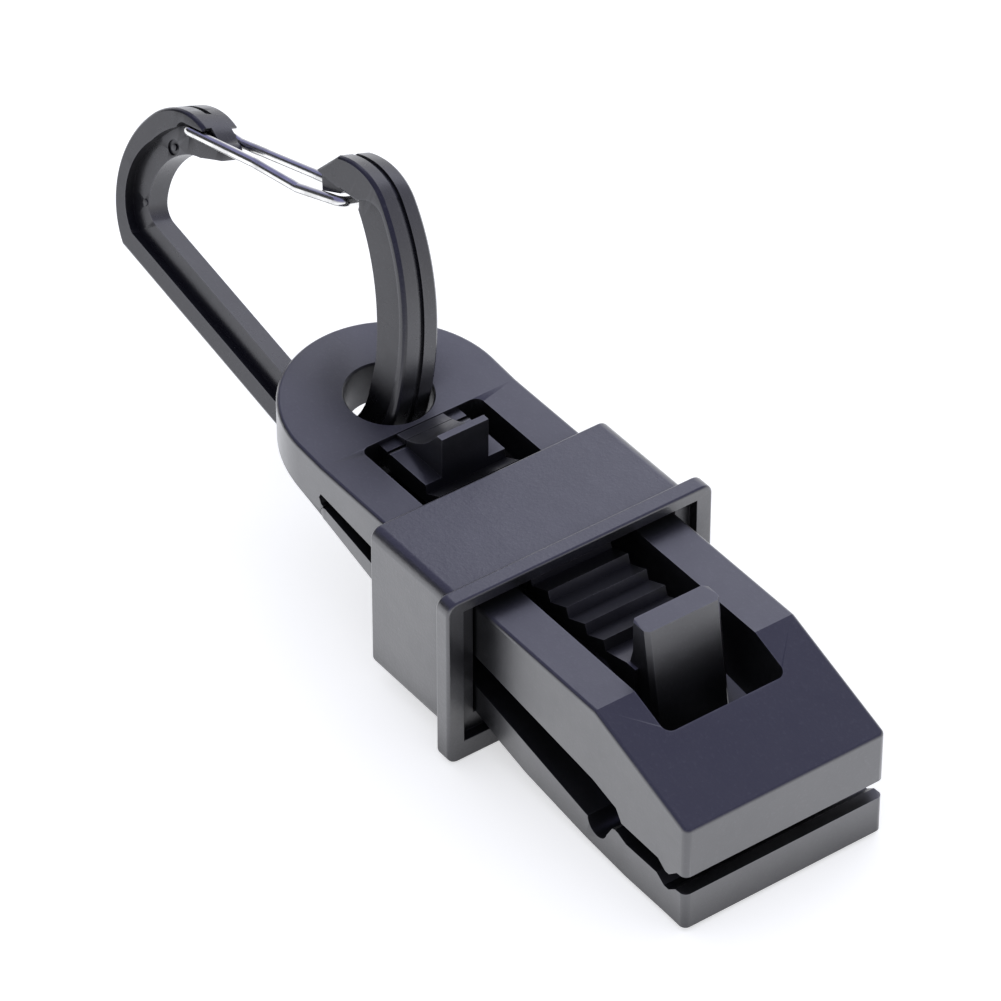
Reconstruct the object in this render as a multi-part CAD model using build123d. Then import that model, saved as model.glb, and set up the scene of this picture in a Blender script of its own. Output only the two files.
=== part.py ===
"""Wedge clip for sheet material, with a sliding ratchet collar and a wire-gate carabiner.

All lengths are in millimetres. +X runs along the clip from the eye to the jaw tips,
+Y across the clip, +Z up. The origin is the middle of the gripping land at the jaw
tips, half way between the two jaws.
"""
import os
from math import cos, radians, sin

from build123d import *

os.makedirs("parts", exist_ok=True)

# ---- overall sizes ----
HALF_WIDTH = 13.15         # half the width of the moulded clip
TIP_X = 6.0                # front face of both jaws
TOP_Z = 12.9               # flat top of the upper jaw
EYE_X = -63.1              # centre of the rounded eye end
BREAK_X = -9.7             # where the top starts to slope down to the tip
TIP_DROP = 5.6             # how far the top falls from there to the tip
EYE_TOP_SLOPE = 1.5 / 17.0     # rise of the eye plate's top towards its far end
EYE_LOW_SLOPE = 2.15 / 11.5    # rise of the eye plate's underside
EYE_LOW_X = -64.4          # where the underside starts to rise
EYE_LOW_Z = 7.75

# ---- edges of the moulding ----
TIP_CORNER_R = 0.8         # upright corners of both jaw tips
TOP_EDGE_R = 0.45          # outer edge of the upper jaw's top
KNUCKLE_GAP = 0.06         # room round both rounded hinge ends

# ---- eye hole ----
HOLE_X = -64.5
HOLE_R = 4.95
HOLE_RIM = 0.2             # chamfer round the top of the hole
HOLE_FRONT_X = HOLE_X + HOLE_R

# ---- hinge line of the lower jaw ----
JAW_KNUCKLE_R = 0.8
JAW_HINGE_WALL = 0.59      # wall between the hole and the hinge's socket
JAW_HINGE_X = HOLE_FRONT_X + JAW_HINGE_WALL + KNUCKLE_GAP + JAW_KNUCKLE_R
JAW_HINGE_Z = 6.83
ARM_BEND_X = -26.0         # where the lower jaw's underside first flattens
ARM_BEND_Z = -3.1
NOTCH_X = -8.95            # round notch behind the tooth of the lower jaw
NOTCH_Z = -2.3
NOTCH_R = 1.65

# ---- window and tongue ----
TONGUE_HALF = 5.3
SLOT_WIDTH = 2.6           # slot on each side of the tongue
WINDOW_HALF = TONGUE_HALF + SLOT_WIDTH
WINDOW_REAR_X = HOLE_FRONT_X + 0.75
WINDOW_FRONT_X = -4.2
WINDOW_CORNER_R = 1.1
TONGUE_TOP_Z = TOP_Z - 0.45    # level of the tooth crests
TONGUE_BACK_Z = TONGUE_TOP_Z - 0.1     # top of the tongue beside its rear tab
TONGUE_LOW_Z = TONGUE_TOP_Z - 2.5
TONGUE_KNUCKLE_R = (TONGUE_BACK_Z - TONGUE_LOW_Z) / 2
TONGUE_ROOT_WALL = 0.94    # fixed root behind the socket
TONGUE_HINGE_X = WINDOW_REAR_X + TONGUE_ROOT_WALL + KNUCKLE_GAP + TONGUE_KNUCKLE_R
TONGUE_HINGE_Z = (TONGUE_BACK_Z + TONGUE_LOW_Z) / 2
ROOT_END_X = TONGUE_HINGE_X - 0.8      # where the fixed root of the tongue stops
RAMP_PART_X = TONGUE_HINGE_X - 0.4     # parting between the fixed and the moving ramp
RAMP_PART_GAP = 0.05       # room on each side of that parting
TOOTH_PITCH = 3.25
TOOTH_DEPTH = 1.2
TOOTH_STEEP = 0.45         # length of the steep face of a tooth
FIRST_CREST_X = -47.75
TOOTH_COUNT = 10
REAR_TAB_HALF = 3.1
REAR_TAB_TOP_Z = TOP_Z + 4.6
REAR_TAB_FACE_X = -50.3
FRONT_TAB_HALF = TONGUE_HALF - 0.4
FRONT_TAB_TOP_Z = TOP_Z + 4.9
FRONT_TAB_LOW_Z = TOP_Z - 8.5
FRONT_TAB_REAR_X = -14.5
FRONT_TAB_FRONT_X = -11.7

# ---- collar ----
COLLAR_REAR_X = -45.9
COLLAR_LENGTH = 16.5
COLLAR_FRONT_X = COLLAR_REAR_X + COLLAR_LENGTH
COLLAR_SIDE_PLAY = 0.2     # room between the collar and the clip's sides
COLLAR_TOP_PLAY = 0.18     # room between the collar and the clip's top
COLLAR_LOW_PLAY = 0.128    # room under the lower jaw where the collar presses it
FLANGE_LENGTH = 2.2
RECESS_DEPTH = 1.2
BORE_HALF = HALF_WIDTH + COLLAR_SIDE_PLAY
BORE_TOP_Z = TOP_Z + COLLAR_TOP_PLAY
SLEEVE_HALF = BORE_HALF + 2.45
SLEEVE_TOP_Z = BORE_TOP_Z + 1.32
SLEEVE_BOTTOM = 2.68       # thickness of the collar's floor
FLANGE_HALF = SLEEVE_HALF + 1.75
FLANGE_TOP_Z = SLEEVE_TOP_Z + 1.0
FLANGE_FOOT = 2.1          # how far the flange stands below the sleeve
RECESS_HALF = SLEEVE_HALF - 0.4
RECESS_TOP_Z = SLEEVE_TOP_Z - 0.5
RECESS_FLOOR = 0.5         # floor left under the recess
COLLAR_CORNER_R = 1.35
COLLAR_EDGE_R = 0.35
CATCH_HALF = TONGUE_HALF - 0.7     # half width of the catch that runs over the teeth
CATCH_PLAY = 0.15          # room between the catch and the tooth crests

# ---- carabiner ----
SWING_AZIMUTH = 6.0        # turn of the carabiner's plane about the vertical
SWING_TILT = 22.0          # lean of the carabiner's plane from the vertical
CARABINER_CENTRE = Vector(HOLE_X + 0.4, 0, TOP_Z - 2.15)
BAR_THICK = 5.4            # full thickness, at the outer rim
WEB_THICK = 2.9            # thickness of the web inside the rim
BAR_EDGE = 0.3             # height of each of the two steps that round the rim's edges
GROOVE_WIDTH = 0.8         # parting groove along the middle of the outer edge
GROOVE_DEPTH = 0.3
RING_MARK = (40.5, 12.8)   # sunk ring in the web of the big end
RING_OUTER_R = 0.9
RING_INNER_R = 0.4
RING_DEPTH = 0.25
DOT_MARK = (42.3, 5.0)     # small raised dot lower down
DOT_R = 0.4
DOT_HEIGHT = 0.15
WIRE_R = 0.6
WIRE_GAP = 0.25            # room between each gate leg and the web
WIRE_SIDE = WEB_THICK / 2 + WIRE_GAP + WIRE_R
WIRE_BEND_R = 0.85
WIRE_HOLE_PLAY = 0.06
GATE_PIVOT = (38.7, 16.0)
NEAR_KNEES = [(27.5, 17.35), (20.3, 17.8)]     # slight bends in the legs
FAR_KNEES = [(34.3, 16.1), (22.8, 18.0)]
GATE_TIP = (13.7, 19.3)
GATE_END = 0.25            # distance of each wire end from the middle plane


def along_y(points, half):
    """Straight-sided block whose side view is the given (x, z) outline."""
    outline = Plane.XZ * make_face(Polyline(*points, close=True))
    return extrude(outline, half, both=True)


def rod_y(x, z, radius, half):
    """Round bar across the clip at (x, z)."""
    return Pos(x, 0, z) * Rot(90, 0, 0) * Cylinder(radius, 2 * half)


def box_between(x0, x1, half_y, z0, z1):
    """Block from x0 to x1 and z0 to z1, centred on y = 0."""
    return Pos((x0 + x1) / 2, 0, (z0 + z1) / 2) * Box(x1 - x0, 2 * half_y, z1 - z0)


def edges_along(part, axis, test):
    """Edges parallel to an axis whose centre passes a test."""
    return [e for e in part.edges().filter_by(axis) if test(e.center())]


def eye_and_upper_jaw():
    """Eye plate and upper jaw, with the long window and the fixed root of the tongue."""
    end_x = EYE_X - HALF_WIDTH
    rise_x = WINDOW_REAR_X - 0.1
    lip_z = JAW_HINGE_Z + JAW_KNUCKLE_R
    side = [
        (end_x, TOP_Z + EYE_TOP_SLOPE * (rise_x - end_x)),
        (rise_x, TOP_Z),
        (BREAK_X, TOP_Z),
        (TIP_X, TOP_Z - TIP_DROP),
        (TIP_X, 1.0),
        (4.6, 0.9),
        (3.3, -0.25),
        (2.7, -0.25),
        (1.4, 0.7),
        (-4.8, 0.85),
        (-5.8, 2.3),
        (-9.8, 3.4),
        (JAW_HINGE_X - 0.75, lip_z + 1.64),
        (JAW_HINGE_X - 1.1, lip_z + 1.02),
        (JAW_HINGE_X - 0.75, lip_z + 0.27),
        (JAW_HINGE_X - 0.4, lip_z + 0.16),
        (JAW_HINGE_X - 0.4, JAW_HINGE_Z),
        (JAW_HINGE_X - 0.6, JAW_HINGE_Z - 0.53),
        (EYE_LOW_X, EYE_LOW_Z),
        (end_x, EYE_LOW_Z + EYE_LOW_SLOPE * (EYE_LOW_X - end_x)),
    ]
    body = along_y(side, HALF_WIDTH)
    plan = Pos(EYE_X, 0) * Circle(HALF_WIDTH)
    plan += Pos((EYE_X + TIP_X) / 2, 0) * Rectangle(TIP_X - EYE_X, 2 * HALF_WIDTH)
    body &= Pos(0, 0, -5) * extrude(plan, 25)
    corners = edges_along(body, Axis.Z, lambda c: c.X > TIP_X - 0.1)
    body = fillet(corners, TIP_CORNER_R)
    body = fillet([e for e in body.edges() if is_outer_top(e)], TOP_EDGE_R)

    body -= rod_y(JAW_HINGE_X, JAW_HINGE_Z, JAW_KNUCKLE_R + KNUCKLE_GAP, HALF_WIDTH + 1)

    window_length = WINDOW_FRONT_X - WINDOW_REAR_X
    window = RectangleRounded(window_length, 2 * WINDOW_HALF, WINDOW_CORNER_R)
    window_at = Pos((WINDOW_FRONT_X + WINDOW_REAR_X) / 2, 0, -5)
    body -= window_at * extrude(window, 25)

    body += box_between(WINDOW_REAR_X - 0.1, ROOT_END_X, TONGUE_HALF, TONGUE_LOW_Z, TONGUE_BACK_Z)
    ramp_rear_part = box_between(WINDOW_REAR_X - 5, RAMP_PART_X - RAMP_PART_GAP, TONGUE_HALF, 5, 25)
    body += rear_tab() & ramp_rear_part
    socket_r = TONGUE_KNUCKLE_R + KNUCKLE_GAP
    body -= rod_y(TONGUE_HINGE_X, TONGUE_HINGE_Z, socket_r, TONGUE_HALF + 0.15)

    body -= Pos(HOLE_X, 0, 0) * Cylinder(HOLE_R, 60)
    return chamfer([e for e in body.edges() if is_hole_rim(e)], HOLE_RIM)


def is_hole_rim(edge):
    """The closed edge at the top of the eye hole."""
    middle = edge.bounding_box().center()
    return abs(middle.X - HOLE_X) < 0.5 and abs(middle.Y) < 0.5 and middle.Z > TOP_Z


def is_outer_top(edge):
    """Edges that run round the outside of the clip's top face."""
    c = edge.bounding_box().center()
    on_side = abs(abs(c.Y) - HALF_WIDTH) < 0.05 and c.X > EYE_X
    round_end = c.X < EYE_X - 1 and c.Z > 13.0 and edge.length > 20
    return (on_side or round_end) and edge.length > 3 and c.Z > 9.9


def rear_tab():
    """Ramped stop at the back of the tongue, with its steep face to the front."""
    toe = (WINDOW_REAR_X + 0.1, TOP_Z - 0.05)
    lip_rear = (REAR_TAB_FACE_X - 0.9, REAR_TAB_TOP_Z)
    lip_front = (REAR_TAB_FACE_X, REAR_TAB_TOP_Z)
    foot_front = (REAR_TAB_FACE_X, TONGUE_BACK_Z - 0.4)
    foot_rear = (toe[0], TONGUE_BACK_Z - 0.4)
    ramp = ThreePointArc(toe, (WINDOW_REAR_X + 4.4, TOP_Z + 1.45), lip_rear)
    rest = Polyline(lip_rear, lip_front, foot_front, foot_rear, toe)
    outline = Plane.XZ * make_face([*ramp.edges(), *rest.edges()])
    return extrude(outline, REAR_TAB_HALF, both=True)


def front_tab():
    """Press tab at the front of the tongue; it reaches down through the window."""
    outline = [
        (FRONT_TAB_REAR_X, TONGUE_TOP_Z - 0.5),
        (FRONT_TAB_REAR_X, FRONT_TAB_TOP_Z),
        (FRONT_TAB_FRONT_X, FRONT_TAB_TOP_Z),
        (FRONT_TAB_FRONT_X + 2.2, FRONT_TAB_LOW_Z),
        (FRONT_TAB_REAR_X + 0.4, FRONT_TAB_LOW_Z),
        (FRONT_TAB_REAR_X - 1.0, TONGUE_LOW_Z - 1.95),
    ]
    tab = along_y(outline, FRONT_TAB_HALF)
    upright = [e for e in tab.edges()
               if abs(e.center().Y) > FRONT_TAB_HALF - 0.1 and e.center().X > FRONT_TAB_FRONT_X]
    upright += [e for e in tab.edges().filter_by(Axis.Z)]
    return chamfer(upright, 0.5)


def release_tongue():
    """Springy tongue with ratchet teeth, a ramped rear stop and a front press tab."""
    valley = TONGUE_TOP_Z - TOOTH_DEPTH
    strip = [
        (TONGUE_HINGE_X, TONGUE_BACK_Z),
        (REAR_TAB_FACE_X, TONGUE_BACK_Z),
        (REAR_TAB_FACE_X + 0.2, valley),
    ]
    for i in range(TOOTH_COUNT):
        crest = FIRST_CREST_X + i * TOOTH_PITCH
        strip.append((crest, TONGUE_TOP_Z))
        strip.append((crest + TOOTH_STEEP, valley))
    strip += [
        (FRONT_TAB_REAR_X, TONGUE_TOP_Z - 0.3),
        (FRONT_TAB_REAR_X + 1.5, TONGUE_TOP_Z - 0.3),
        (FRONT_TAB_REAR_X + 1.5, TONGUE_LOW_Z - 3.95),
        (FRONT_TAB_REAR_X - 0.6, TONGUE_LOW_Z - 1.95),
        (FRONT_TAB_REAR_X - 3.5, TONGUE_LOW_Z),
        (TONGUE_HINGE_X, TONGUE_LOW_Z),
    ]
    tongue = along_y(strip, TONGUE_HALF)
    tongue += rod_y(TONGUE_HINGE_X, TONGUE_HINGE_Z, TONGUE_KNUCKLE_R, TONGUE_HALF)
    moving_part = box_between(RAMP_PART_X + RAMP_PART_GAP, REAR_TAB_FACE_X + 1, TONGUE_HALF, 5, 25)
    tongue += rear_tab() & moving_part
    tongue += front_tab()
    return tongue


def lower_jaw():
    """Lower jaw: a thin springy root that thickens towards the tooth and the tip."""
    side = [
        (JAW_HINGE_X, JAW_HINGE_Z + JAW_KNUCKLE_R),
        (-11.0, -2.25),
        (-7.3, -2.6),
        (-6.4, -1.05),
        (-5.9, -0.85),
        (-5.4, -0.95),
        (-4.0, -1.5),
        (1.2, -1.5),
        (2.5, -2.4),
        (3.3, -2.4),
        (4.4, -1.55),
        (TIP_X, -1.4),
        (TIP_X, -6.1),
        (3.0, -6.0),
        (-4.0, -6.0),
        (-11.0, -5.5),
        (-21.5, -4.15),
        (ARM_BEND_X, ARM_BEND_Z),
        (JAW_HINGE_X, JAW_HINGE_Z - JAW_KNUCKLE_R),
    ]
    jaw = along_y(side, HALF_WIDTH)
    jaw += rod_y(JAW_HINGE_X, JAW_HINGE_Z, JAW_KNUCKLE_R, HALF_WIDTH)
    jaw -= rod_y(NOTCH_X, NOTCH_Z, NOTCH_R, HALF_WIDTH + 1)
    corners = edges_along(jaw, Axis.Z, lambda c: c.X > TIP_X - 0.1)
    return fillet(corners, TIP_CORNER_R)


def rounded_ring(x0, x1, half, z0, z1, radius):
    """Block along X with its four long corners rounded."""
    face = RectangleRounded(2 * half, z1 - z0, radius)
    block = extrude(Plane.YZ * face, x1 - x0)
    return Pos(x0, 0, (z0 + z1) / 2) * block


def arm_low_z(x):
    """Underside of the lower jaw's thin root at x."""
    root_z = JAW_HINGE_Z - JAW_KNUCKLE_R
    slope = (ARM_BEND_Z - root_z) / (ARM_BEND_X - JAW_HINGE_X)
    return root_z + slope * (x - JAW_HINGE_X)


def sliding_collar():
    """Rectangular sleeve with a thicker front flange and a catch above the teeth."""
    flange_rear = COLLAR_FRONT_X - FLANGE_LENGTH
    recess_rear = COLLAR_FRONT_X - RECESS_DEPTH
    bore_low = arm_low_z(recess_rear) - COLLAR_LOW_PLAY
    sleeve_low = bore_low - SLEEVE_BOTTOM
    sleeve = rounded_ring(COLLAR_REAR_X, COLLAR_FRONT_X - 0.1, SLEEVE_HALF,
                          sleeve_low, SLEEVE_TOP_Z, COLLAR_CORNER_R)
    rear_rim = [e for e in sleeve.edges() if e.center().X < COLLAR_REAR_X + 0.01]
    sleeve = fillet(rear_rim, COLLAR_EDGE_R)
    flange = rounded_ring(flange_rear, COLLAR_FRONT_X, FLANGE_HALF,
                          sleeve_low - FLANGE_FOOT, FLANGE_TOP_Z, COLLAR_CORNER_R)
    ends = [e for e in flange.edges()
            if e.center().X > COLLAR_FRONT_X - 0.01 or e.center().X < flange_rear + 0.01]
    flange = fillet(ends, COLLAR_EDGE_R)
    body = sleeve + flange
    body -= box_between(COLLAR_REAR_X - 1, COLLAR_FRONT_X + 1, BORE_HALF, bore_low, BORE_TOP_Z)
    body -= box_between(recess_rear, COLLAR_FRONT_X + 1, RECESS_HALF,
                        sleeve_low + RECESS_FLOOR, RECESS_TOP_Z)
    catch_low = TONGUE_TOP_Z + CATCH_PLAY
    catch = [
        (COLLAR_REAR_X + 2.0, BORE_TOP_Z + 0.1),
        (COLLAR_REAR_X + 2.0, BORE_TOP_Z - 0.1),
        (COLLAR_REAR_X + 4.0, catch_low),
        (COLLAR_REAR_X + 4.5, catch_low),
        (COLLAR_REAR_X + 4.7, BORE_TOP_Z + 0.1),
    ]
    return body + along_y(catch, CATCH_HALF)


def swing_plane():
    """Plane of the carabiner: local x runs back from the eye, local y up."""
    a = radians(SWING_AZIMUTH)
    e = radians(SWING_TILT)
    back = Vector(-cos(a), -sin(a), 0)
    far_side = Vector(-sin(a) * cos(e), cos(a) * cos(e), -sin(e))
    return Plane(origin=CARABINER_CENTRE, x_dir=back, z_dir=far_side)


def outer_side():
    """Outer side of the carabiner, from its nose round the small end and the big end."""
    big_end = ThreePointArc((43.0, -0.5), (46.8, 8.2), (44.1, 15.4))
    return [
        ThreePointArc((15.8, 24.0), (11.7, 24.2), (7.9, 22.5)),
        ThreePointArc((7.9, 22.5), (0.4, 13.1), (-2.7, 2.4)),
        ThreePointArc((-2.7, 2.4), (0.4, -6.3), (7.5, -9.6)),
        Line((7.5, -9.6), (43.0, -0.5)),
        big_end,
        TangentArc((44.1, 15.4), (39.3, 18.0), tangent=big_end % 1),
    ]


def carabiner_outline():
    """Open D: spine, big end with the gate's pivot, hooked nose and small end in the eye."""
    outer = outer_side()
    edges = [
        *outer,
        TangentArc((39.3, 18.0), (34.0, 16.4), tangent=outer[-1] % 1),
        ThreePointArc((34.0, 16.4), (32.9, 15.6), (32.9, 14.8)),
        ThreePointArc((32.9, 14.8), (34.6, 14.2), (36.2, 13.6)),
        ThreePointArc((36.2, 13.6), (41.3, 10.1), (41.9, 5.6)),
        ThreePointArc((41.9, 5.6), (41.2, 4.2), (39.6, 3.3)),
        Line((39.6, 3.3), (8.6, -4.65)),
        ThreePointArc((8.6, -4.65), (4.2, -3.0), (2.7, 1.2)),
        Line((2.7, 1.2), (3.1, 5.0)),
        ThreePointArc((3.1, 5.0), (6.7, 13.2), (11.8, 19.3)),
        ThreePointArc((11.8, 19.3), (12.2, 20.3), (13.0, 20.6)),
        Line((13.0, 20.6), (14.2, 20.6)),
        Line((14.2, 20.6), (14.9, 19.7)),
        Line((14.9, 19.7), (17.5, 18.8)),
        Line((17.5, 18.8), (18.5, 20.9)),
        Line((18.5, 20.9), (15.8, 24.0)),
    ]
    return make_face(edges)


def channel_outline():
    """Everything inside the raised rim; it passes close above the legs of the gate."""
    edges = [
        Line((7.0, -7.5), (41.9, 1.45)),
        ThreePointArc((41.9, 1.45), (44.9, 7.6), (42.9, 12.6)),
        ThreePointArc((42.9, 12.6), (41.6, 14.3), (39.8, 15.8)),
        ThreePointArc((39.8, 15.8), (39.5, 16.5), (38.9, 16.75)),
        Line((38.9, 16.75), (35.9, 17.1)),
        Line((35.9, 17.1), (35.6, 19.0)),
        Line((35.6, 19.0), (21.0, 23.0)),
        Line((21.0, 23.0), (20.6, 21.35)),
        Line((20.6, 21.35), (14.3, 20.75)),
        Line((14.3, 20.75), (11.2, 20.75)),
        ThreePointArc((11.2, 20.75), (9.4, 21.5), (7.3, 20.9)),
        ThreePointArc((7.3, 20.9), (1.6, 13.6), (-1.4, 4.6)),
        ThreePointArc((-1.4, 4.6), (0.9, -4.2), (7.0, -7.5)),
    ]
    return make_face(edges)


def rounded_bar(outline, thick, steps):
    """Bar of a given outline; each step (rise, slope) eases the edges of both faces."""
    core = thick / 2 - sum(rise for rise, slope in steps)
    bar = extrude(outline, core, both=True)
    face = Pos(0, 0, core) * outline
    for rise, slope in steps:
        layer = extrude(face, rise, taper=slope)
        bar += layer
        bar += mirror(layer, about=Plane.XY)
        face = layer.faces().sort_by(Axis.Z)[-1]
    return bar


def carabiner_body():
    """Moulded carabiner: a thick outer rim round a thinner web with a hooked nose."""
    outline = carabiner_outline()
    rim = rounded_bar(outline, BAR_THICK, [(BAR_EDGE, 25), (BAR_EDGE / 2, 55)])
    web = extrude(outline, WEB_THICK / 2, both=True)
    inside = extrude(channel_outline(), BAR_THICK, both=True)
    body = rim - (inside - web)
    hull = make_face([*outer_side(), Line((39.3, 18.0), (15.8, 24.0))])
    groove = hull - offset(hull, -GROOVE_DEPTH)
    body -= extrude(groove, GROOVE_WIDTH / 2, both=True)
    body -= Pos(GATE_PIVOT[0], GATE_PIVOT[1], 0) * Cylinder(WIRE_R + WIRE_HOLE_PLAY, 10)
    ring = Cylinder(RING_OUTER_R, 2 * RING_DEPTH) - Cylinder(RING_INNER_R, 2 * RING_DEPTH)
    body -= Pos(RING_MARK[0], RING_MARK[1], -WEB_THICK / 2) * ring
    body += Pos(DOT_MARK[0], DOT_MARK[1], -WEB_THICK / 2) * Cylinder(DOT_R, 2 * DOT_HEIGHT)
    return swing_plane() * body


def gate_wire():
    """One steel wire: pivot end, near leg, loop round the nose's lip, far leg, pivot end."""
    px, py = GATE_PIVOT
    near_leg = [GATE_PIVOT, *NEAR_KNEES, GATE_TIP]
    far_leg = [GATE_TIP, *reversed(FAR_KNEES), GATE_PIVOT]
    points = [(px, py, -GATE_END)]
    points += [(x, y, -WIRE_SIDE) for x, y in near_leg]
    points += [(x, y, WIRE_SIDE) for x, y in far_leg]
    points.append((px, py, GATE_END))
    path = FilletPolyline(*points, radius=WIRE_BEND_R)
    start = Plane(origin=(px, py, -GATE_END), z_dir=(0, 0, -1))
    wire = sweep(start * Circle(WIRE_R), path=path)
    return swing_plane() * wire


PARTS = {
    "eye_and_upper_jaw": eye_and_upper_jaw,
    "lower_jaw": lower_jaw,
    "release_tongue": release_tongue,
    "sliding_collar": sliding_collar,
    "carabiner_body": carabiner_body,
    "gate_wire": gate_wire,
}

for name, make in PARTS.items():
    export_step(make(), f"parts/{name}.step")
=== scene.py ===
"""Looks of the wedge clip: moulded black plastic, polished gate wire, studio light, camera."""
from math import cos, pi, radians, sin

import bpy
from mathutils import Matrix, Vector


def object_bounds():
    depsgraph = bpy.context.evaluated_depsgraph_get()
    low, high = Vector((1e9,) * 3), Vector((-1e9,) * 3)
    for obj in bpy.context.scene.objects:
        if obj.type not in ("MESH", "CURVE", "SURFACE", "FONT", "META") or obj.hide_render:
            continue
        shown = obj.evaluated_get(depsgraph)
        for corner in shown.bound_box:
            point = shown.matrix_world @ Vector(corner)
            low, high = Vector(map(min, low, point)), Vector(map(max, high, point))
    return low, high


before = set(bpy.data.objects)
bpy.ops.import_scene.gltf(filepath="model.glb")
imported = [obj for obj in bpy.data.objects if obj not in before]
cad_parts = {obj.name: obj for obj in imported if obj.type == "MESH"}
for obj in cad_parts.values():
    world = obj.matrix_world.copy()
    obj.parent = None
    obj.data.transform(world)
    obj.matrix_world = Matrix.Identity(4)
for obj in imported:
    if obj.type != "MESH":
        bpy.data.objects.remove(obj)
CAD_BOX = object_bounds()

# ---- camera: worked out from the object's known corners in the photograph ----
VIEW_AZIMUTH = 53.694          # degrees from looking along +Y, towards +X
VIEW_ELEVATION = 39.523
VIEW_DISTANCE = 0.703471
VIEW_TARGET = Vector((-0.055508, 0.0085273, 0.0))
SENSOR = 36.0                  # mm
LENS = 229.30                  # mm

# ---- stage and light ----
FLOOR_GAP = 0.00002            # keeps the floor just under the lowest face
FLOOR_SIZE = 8.0
FLOOR_COLOUR = (0.82, 0.82, 0.82, 1)
FLOOR_LIFT = 0.54              # how much whiter the floor is seen than it is lit
SKY_COLOUR = (0.90, 0.92, 1.0, 1)
SKY_STRENGTH = 0.80
ZENITH_COLOUR = (0.20, 0.20, 0.37, 1)  # what the object's glossy tops mirror
ZENITH_HEIGHT = 0.62           # height at which that colour is reached, 0 to 1

SOFTBOX_TOWARDS = (-0.44, 0.70, 0.64)
SOFTBOX_DISTANCE = 0.9
SOFTBOX_SIZE = 0.6
SOFTBOX_RADIANCE = 0.75
SOFTBOX_COLOUR = (0.88, 0.90, 1.0)
CARD_TOWARDS = (-0.62, -0.50, 0.36)
CARD_DISTANCE = 0.5
CARD_WIDTH = 0.42
CARD_HEIGHT = 0.26
CARD_COLOUR = (0.02, 0.02, 0.02, 1)

# ---- plastics; scales are in features per metre ----
# The worn tones colour the random grain speckle and the sharp edges; on the edges they are partly
# wear and partly painted highlight.
JAW_TONE = (0.008, 0.008, 0.010, 1)
JAW_WORN_AND_HIGHLIGHT = (0.080, 0.080, 0.095, 1)
COLLAR_TONE = (0.010, 0.010, 0.012, 1)
COLLAR_WORN_AND_HIGHLIGHT = (0.100, 0.100, 0.115, 1)
HOOK_TONE = (0.007, 0.007, 0.009, 1)
HOOK_WORN_AND_HIGHLIGHT = (0.060, 0.060, 0.070, 1)
# Painted shade: recesses are darkened to this colour and lose their coat.
RECESS_PAINTED_SHADE = (0.0015, 0.0015, 0.002, 1)
PAINTED_SHADE_REACH = 0.008           # how near other faces make a surface count as a recess
CLOUD_SCALE = 75.0             # slow waviness of the moulding
MOTTLE_SCALE = 520.0
GRAIN_SCALE = 2600.0           # texture of the spark-eroded mould
WAVE_HEIGHT = 0.00012
GRAIN_HEIGHT = 0.00002
SCUFF_DEPTH = 0.000006
SCUFF_STRETCH = (60.0, 900.0, 900.0)   # scuffs run along the clip
# Reach of the lighter sharp edges, which are partly rubbed wear and partly painted highlight.
EDGE_WEAR_AND_HIGHLIGHT = 0.00035
COAT_ROUGHNESS = 0.28
COAT_IOR = 1.85
PLASTIC_SPECULAR = 0.8
PLASTIC_SPECULAR_TINT = (0.94, 0.94, 1.0, 1)

# ---- edges ----
WELD_DISTANCE = 0.000001
BEVEL_WIDTH = 0.00020          # asked for; the modifier's overlap clamp holds it near nothing
BEVEL_ANGLE = 18               # degrees; edges sharper than this get the bevel's loops

# ---- gate wire ----
STEEL_TONE = (0.93, 0.93, 0.91, 1)
STEEL_DULL = tuple(0.6 * c for c in STEEL_TONE[:3]) + (1,)
STEEL_CLOUD_SCALE = 400.0
STEEL_GRAIN_SCALE = 5000.0
STEEL_GRAIN_HEIGHT = 0.000006


# ---------------------------------------------------------------- node helpers
def new_material(name):
    """Empty material with a Principled shader and an output."""
    material = bpy.data.materials.new(name)
    material.use_nodes = True
    tree = material.node_tree
    tree.nodes.clear()
    output = tree.nodes.new("ShaderNodeOutputMaterial")
    shader = tree.nodes.new("ShaderNodeBsdfPrincipled")
    tree.links.new(shader.outputs["BSDF"], output.inputs["Surface"])
    return material, tree, shader


def object_coordinates(tree, stretch=(1, 1, 1)):
    """Object coordinates in metres, optionally stretched along an axis."""
    place = tree.nodes.new("ShaderNodeTexCoord")
    mapping = tree.nodes.new("ShaderNodeMapping")
    mapping.inputs["Scale"].default_value = stretch
    tree.links.new(place.outputs["Object"], mapping.inputs["Vector"])
    return mapping.outputs["Vector"]


def noise(tree, vector, scale, detail=3.0, roughness=0.55):
    """Value of a 3-D noise at a scale in features per metre."""
    node = tree.nodes.new("ShaderNodeTexNoise")
    node.inputs["Scale"].default_value = scale
    node.inputs["Detail"].default_value = detail
    node.inputs["Roughness"].default_value = roughness
    tree.links.new(vector, node.inputs["Vector"])
    return node.outputs["Fac"]


def remap(tree, value, low, high, to_low, to_high):
    """Value moved from one range to another, held at both ends."""
    node = tree.nodes.new("ShaderNodeMapRange")
    node.inputs["From Min"].default_value = low
    node.inputs["From Max"].default_value = high
    node.inputs["To Min"].default_value = to_low
    node.inputs["To Max"].default_value = to_high
    tree.links.new(value, node.inputs["Value"])
    return node.outputs["Result"]


def math(tree, operation, a, b):
    """Two values, or a value and a number, put together."""
    node = tree.nodes.new("ShaderNodeMath")
    node.operation = operation
    for socket, value in zip(node.inputs, (a, b)):
        if isinstance(value, (int, float)):
            socket.default_value = value
        else:
            tree.links.new(value, socket)
    return node.outputs["Value"]


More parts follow.
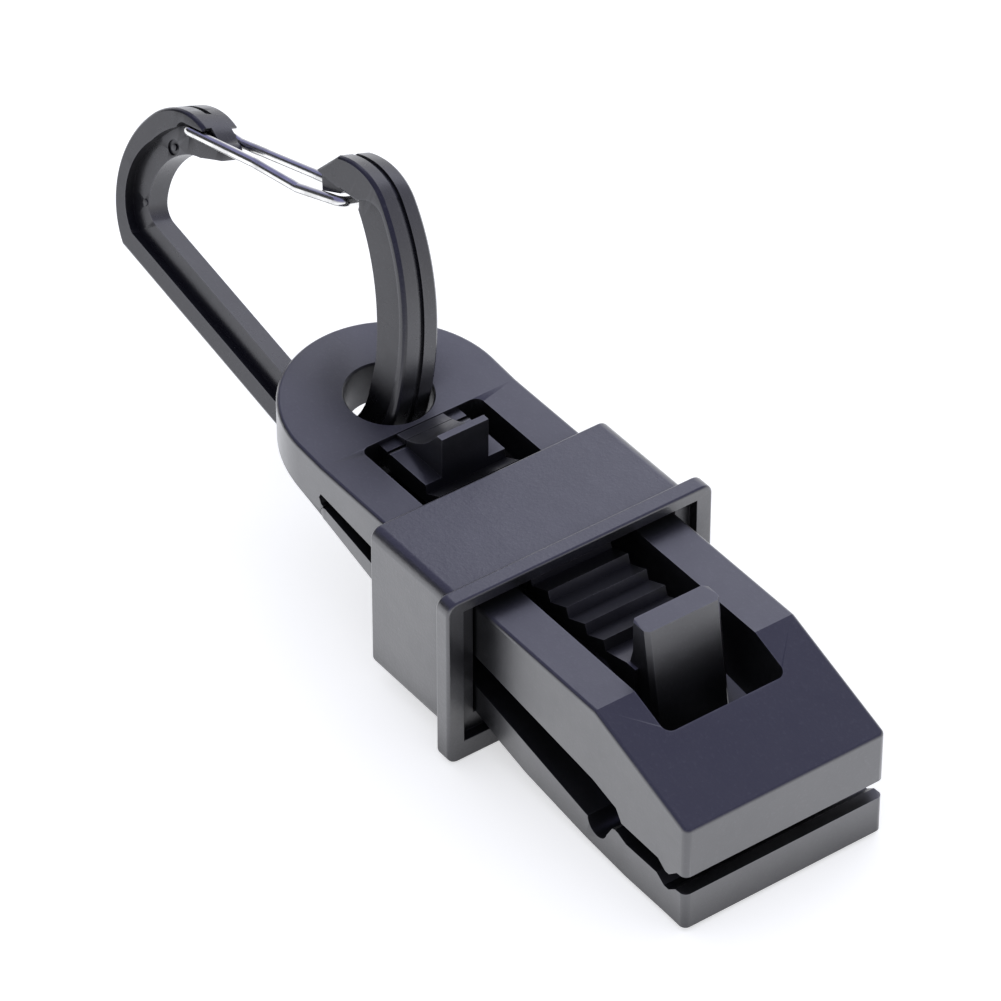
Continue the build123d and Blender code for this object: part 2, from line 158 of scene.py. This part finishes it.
def mix_colour(tree, factor, a, b):
    """Colour a where the factor is 0, b where it is 1; each may be a colour or a socket."""
    node = tree.nodes.new("ShaderNodeMix")
    node.data_type = "RGBA"
    tree.links.new(factor, node.inputs["Factor"])
    for socket, value in ((node.inputs[6], a), (node.inputs[7], b)):
        if isinstance(value, tuple):
            socket.default_value = value
        else:
            tree.links.new(value, socket)
    return node.outputs[2]


def bump(tree, height, distance, strength, normal=None):
    """Normal disturbed by a height; distance is the full height in metres."""
    node = tree.nodes.new("ShaderNodeBump")
    node.inputs["Distance"].default_value = distance
    node.inputs["Strength"].default_value = strength
    tree.links.new(height, node.inputs["Height"])
    if normal is not None:
        tree.links.new(normal, node.inputs["Normal"])
    return node.outputs["Normal"]


def edge_mask(tree, radius):
    """1 on sharp edges, 0 on flat faces, from how far a rounded normal turns."""
    rounded = tree.nodes.new("ShaderNodeBevel")
    rounded.samples = 6
    rounded.inputs["Radius"].default_value = radius
    flat = tree.nodes.new("ShaderNodeNewGeometry")
    turn = tree.nodes.new("ShaderNodeVectorMath")
    turn.operation = "DOT_PRODUCT"
    tree.links.new(rounded.outputs["Normal"], turn.inputs[0])
    tree.links.new(flat.outputs["Normal"], turn.inputs[1])
    return remap(tree, turn.outputs["Value"], 0.995, 0.86, 0.0, 1.0)


def open_sky_mask(tree, reach):
    """1 where a surface lies open, 0 deep in a recess that is hidden on all sides."""
    shade = tree.nodes.new("ShaderNodeAmbientOcclusion")
    shade.samples = 8
    shade.inputs["Distance"].default_value = reach
    return remap(tree, shade.outputs["AO"], 0.45, 0.92, 0.0, 1.0)


# ---------------------------------------------------------------- materials
def moulded_plastic(name, tone, worn_and_highlight_tone, roughness, coat, grain, seed):
    """Black moulded plastic: cloudy colour, fine mould grain, lighter sharp edges that are partly
    rubbed wear and partly painted highlight, painted shade in recesses, and faint scuffs.
    """
    material, tree, shader = new_material(name)
    place = object_coordinates(tree)
    shifted = tree.nodes.new("ShaderNodeMapping")
    shifted.inputs["Location"].default_value = (seed, seed * 0.7, seed * 0.3)
    tree.links.new(place, shifted.inputs["Vector"])
    where = shifted.outputs["Vector"]

    cloud = noise(tree, where, CLOUD_SCALE, 3.0)
    mottle = noise(tree, where, MOTTLE_SCALE, 4.0)
    fine = noise(tree, where, GRAIN_SCALE, 3.0, 0.6)
    # Sharp edges get a lighter colour, partly rubbed wear and partly painted highlight.
    edge = edge_mask(tree, EDGE_WEAR_AND_HIGHLIGHT)
    rubbed_and_highlight = math(tree, "MULTIPLY", edge, remap(tree, mottle, 0.35, 0.65, 0.25, 1.0))

    darker = tuple(0.72 * c for c in tone[:3]) + (1,)
    ground = mix_colour(tree, remap(tree, cloud, 0.3, 0.7, 0.0, 1.0), darker, tone)
    speckled = mix_colour(tree, remap(tree, fine, 0.55, 0.8, 0.0, 0.35), ground, worn_and_highlight_tone)
    colour = mix_colour(tree, math(tree, "MULTIPLY", rubbed_and_highlight, 0.8), speckled, worn_and_highlight_tone)
    # Painted shade: surfaces near other faces are darkened to the recess colour and lose their
    # coat.
    in_open = open_sky_mask(tree, PAINTED_SHADE_REACH)
    colour = mix_colour(tree, in_open, RECESS_PAINTED_SHADE, colour)
    tree.links.new(colour, shader.inputs["Base Color"])
    tree.links.new(math(tree, "MULTIPLY", in_open, coat), shader.inputs["Coat Weight"])

    smear = remap(tree, cloud, 0.3, 0.7, -0.05, 0.05)
    spot = remap(tree, mottle, 0.3, 0.7, -0.035, 0.035)
    rough = math(tree, "ADD", math(tree, "ADD", smear, spot), roughness)
    rough = math(tree, "SUBTRACT", rough, math(tree, "MULTIPLY", rubbed_and_highlight, 0.06))
    tree.links.new(rough, shader.inputs["Roughness"])

    long_way = object_coordinates(tree, SCUFF_STRETCH)
    scuff = remap(tree, noise(tree, long_way, 1.0, 4.0), 0.62, 0.74, 0.0, 1.0)
    normal = bump(tree, cloud, WAVE_HEIGHT, 0.7)
    normal = bump(tree, fine, GRAIN_HEIGHT, grain, normal)
    normal = bump(tree, scuff, -SCUFF_DEPTH, 0.5, normal)
    tree.links.new(normal, shader.inputs["Normal"])
    tree.links.new(normal, shader.inputs["Coat Normal"])
    shader.inputs["Specular IOR Level"].default_value = PLASTIC_SPECULAR
    shader.inputs["Specular Tint"].default_value = PLASTIC_SPECULAR_TINT
    shader.inputs["Coat Roughness"].default_value = COAT_ROUGHNESS
    shader.inputs["Coat IOR"].default_value = COAT_IOR
    return material


def polished_wire(name):
    """Bright steel wire with a fine grain and a few duller patches."""
    material, tree, shader = new_material(name)
    where = object_coordinates(tree)
    cloud = noise(tree, where, STEEL_CLOUD_SCALE, 3.0)
    fine = noise(tree, where, STEEL_GRAIN_SCALE, 2.0)
    patches = remap(tree, cloud, 0.4, 0.75, 0.0, 1.0)
    colour = mix_colour(tree, patches, STEEL_TONE, STEEL_DULL)
    tree.links.new(colour, shader.inputs["Base Color"])
    tree.links.new(remap(tree, cloud, 0.3, 0.7, 0.12, 0.24), shader.inputs["Roughness"])
    tree.links.new(bump(tree, fine, STEEL_GRAIN_HEIGHT, 0.4), shader.inputs["Normal"])
    shader.inputs["Metallic"].default_value = 1.0
    return material


def dress_clip():
    """Gives each CAD node its material, and all but the wire loops along sharp edges."""
    jaw = moulded_plastic("clip_jaw_plastic", JAW_TONE, JAW_WORN_AND_HIGHLIGHT, 0.40, 1.0, 0.35, 0.0)
    collar = moulded_plastic("collar_plastic", COLLAR_TONE, COLLAR_WORN_AND_HIGHLIGHT, 0.42, 1.0, 0.9, 0.3)
    carabiner = moulded_plastic("carabiner_plastic", HOOK_TONE, HOOK_WORN_AND_HIGHLIGHT, 0.28, 0.3, 0.4, 0.6)
    looks = {
        "eye_and_upper_jaw": jaw,
        "lower_jaw": jaw,
        "release_tongue": jaw,
        "sliding_collar": collar,
        "carabiner_body": carabiner,
        "gate_wire": polished_wire("gate_steel"),
    }
    for name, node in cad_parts.items():
        node.data.materials.clear()
        node.data.materials.append(looks[name])
        if name != "gate_wire":
            soften_edges(node)


def soften_edges(node):
    """Joins split corners, adds loops along sharp edges and weights normals by face area."""
    weld = node.modifiers.new("weld", "WELD")
    weld.merge_threshold = WELD_DISTANCE
    bevel = node.modifiers.new("bevel", "BEVEL")
    bevel.width = BEVEL_WIDTH
    bevel.segments = 2
    bevel.limit_method = "ANGLE"
    bevel.angle_limit = radians(BEVEL_ANGLE)
    flatten = node.modifiers.new("flatten", "WEIGHTED_NORMAL")
    flatten.mode = "FACE_AREA"
    flatten.weight = 100


# ---------------------------------------------------------------- stage
def seen_directly(tree):
    """1 for camera, glossy and transmission rays, 0 for the light that falls on things."""
    path = tree.nodes.new("ShaderNodeLightPath")
    seen = math(tree, "MAXIMUM", path.outputs["Is Camera Ray"], path.outputs["Is Glossy Ray"])
    return math(tree, "MAXIMUM", seen, path.outputs["Is Transmission Ray"])


def make_floor():
    """Plain pale floor under the lowest face; it keeps the object's shadow."""
    low = CAD_BOX[0][2] - FLOOR_GAP
    half = FLOOR_SIZE / 2
    corners = [(-half, -half, low), (half, -half, low), (half, half, low), (-half, half, low)]
    mesh = bpy.data.meshes.new("floor")
    mesh.from_pydata(corners, [], [(0, 1, 2, 3)])
    floor = bpy.data.objects.new("floor", mesh)
    bpy.context.scene.collection.objects.link(floor)
    material, tree, shader = new_material("floor_paper")
    shader.inputs["Base Color"].default_value = FLOOR_COLOUR
    shader.inputs["Roughness"].default_value = 0.9
    shader.inputs["Specular IOR Level"].default_value = 0.1
    shader.inputs["Emission Color"].default_value = (1, 1, 1, 1)
    lift = math(tree, "MULTIPLY", seen_directly(tree), FLOOR_LIFT)
    tree.links.new(lift, shader.inputs["Emission Strength"])
    mesh.materials.append(material)


def make_world():
    """White to the camera, darker and bluer overhead in reflections, even in what it lights."""
    world = bpy.data.worlds.new("studio")
    bpy.context.scene.world = world
    world.use_nodes = True
    tree = world.node_tree
    background = tree.nodes["Background"]
    path = tree.nodes.new("ShaderNodeLightPath")
    direction = tree.nodes.new("ShaderNodeTexCoord")
    parts = tree.nodes.new("ShaderNodeSeparateXYZ")
    tree.links.new(direction.outputs["Generated"], parts.inputs["Vector"])
    height = remap(tree, parts.outputs["Z"], 0.0, ZENITH_HEIGHT, 0.0, 1.0)
    mirrored = mix_colour(tree, height, (1, 1, 1, 1), ZENITH_COLOUR)
    colour = mix_colour(tree, path.outputs["Is Glossy Ray"], SKY_COLOUR, mirrored)
    colour = mix_colour(tree, path.outputs["Is Camera Ray"], colour, (1, 1, 1, 1))
    colour = mix_colour(tree, path.outputs["Is Transmission Ray"], colour, (1, 1, 1, 1))
    tree.links.new(colour, background.inputs["Color"])
    seen = seen_directly(tree)
    strength = math(tree, "MAXIMUM", seen, SKY_STRENGTH)
    tree.links.new(strength, background.inputs["Strength"])


def area_light(name, direction, distance, size, radiance, colour):
    """Square soft light that looks at the object; radiance is how bright it is seen."""
    light = bpy.data.lights.new(name, "AREA")
    light.size = size
    light.energy = radiance * pi * size * size
    light.color = colour
    lamp = bpy.data.objects.new(name, light)
    aim = Vector(direction).normalized()
    lamp.location = VIEW_TARGET + aim * distance
    lamp.rotation_euler = aim.to_track_quat("Z", "Y").to_euler()
    bpy.context.scene.collection.objects.link(lamp)


def dark_card(name, direction, distance, width, height):
    """Black card beside the object, which shows only in reflections."""
    aim = Vector(direction).normalized()
    side = Vector((-aim.y, aim.x, 0)).normalized() * width / 2
    up = side.cross(aim).normalized() * height / 2
    if up.z < 0:
        up = -up
    middle = VIEW_TARGET + aim * distance
    corners = [middle - side - up, middle + side - up, middle + side + up, middle - side + up]
    mesh = bpy.data.meshes.new(name)
    mesh.from_pydata([tuple(c) for c in corners], [], [(0, 1, 2, 3)])
    card = bpy.data.objects.new(name, mesh)
    bpy.context.scene.collection.objects.link(card)
    material, tree, shader = new_material(name)
    shader.inputs["Base Color"].default_value = CARD_COLOUR
    mesh.materials.append(material)
    card.visible_camera = False
    card.visible_shadow = False
    card.visible_diffuse = False


def make_camera():
    """Camera at the photograph's viewing angle."""
    azimuth = radians(VIEW_AZIMUTH)
    elevation = radians(VIEW_ELEVATION)
    back = Vector((sin(azimuth) * cos(elevation), -cos(azimuth) * cos(elevation), sin(elevation)))
    camera = bpy.data.cameras.new("camera")
    camera.sensor_width = SENSOR
    camera.lens = LENS
    camera.clip_start = 0.01
    camera.clip_end = 50.0
    holder = bpy.data.objects.new("camera", camera)
    holder.location = VIEW_TARGET + back * VIEW_DISTANCE
    holder.rotation_euler = back.to_track_quat("Z", "Y").to_euler()
    bpy.context.scene.collection.objects.link(holder)
    bpy.context.scene.camera = holder


dress_clip()
make_floor()
make_world()
area_light("back_right_softbox", SOFTBOX_TOWARDS, SOFTBOX_DISTANCE,
           SOFTBOX_SIZE, SOFTBOX_RADIANCE, SOFTBOX_COLOUR)
dark_card("left_card", CARD_TOWARDS, CARD_DISTANCE, CARD_WIDTH, CARD_HEIGHT)
make_camera()
bpy.context.scene.view_settings.view_transform = "Standard"
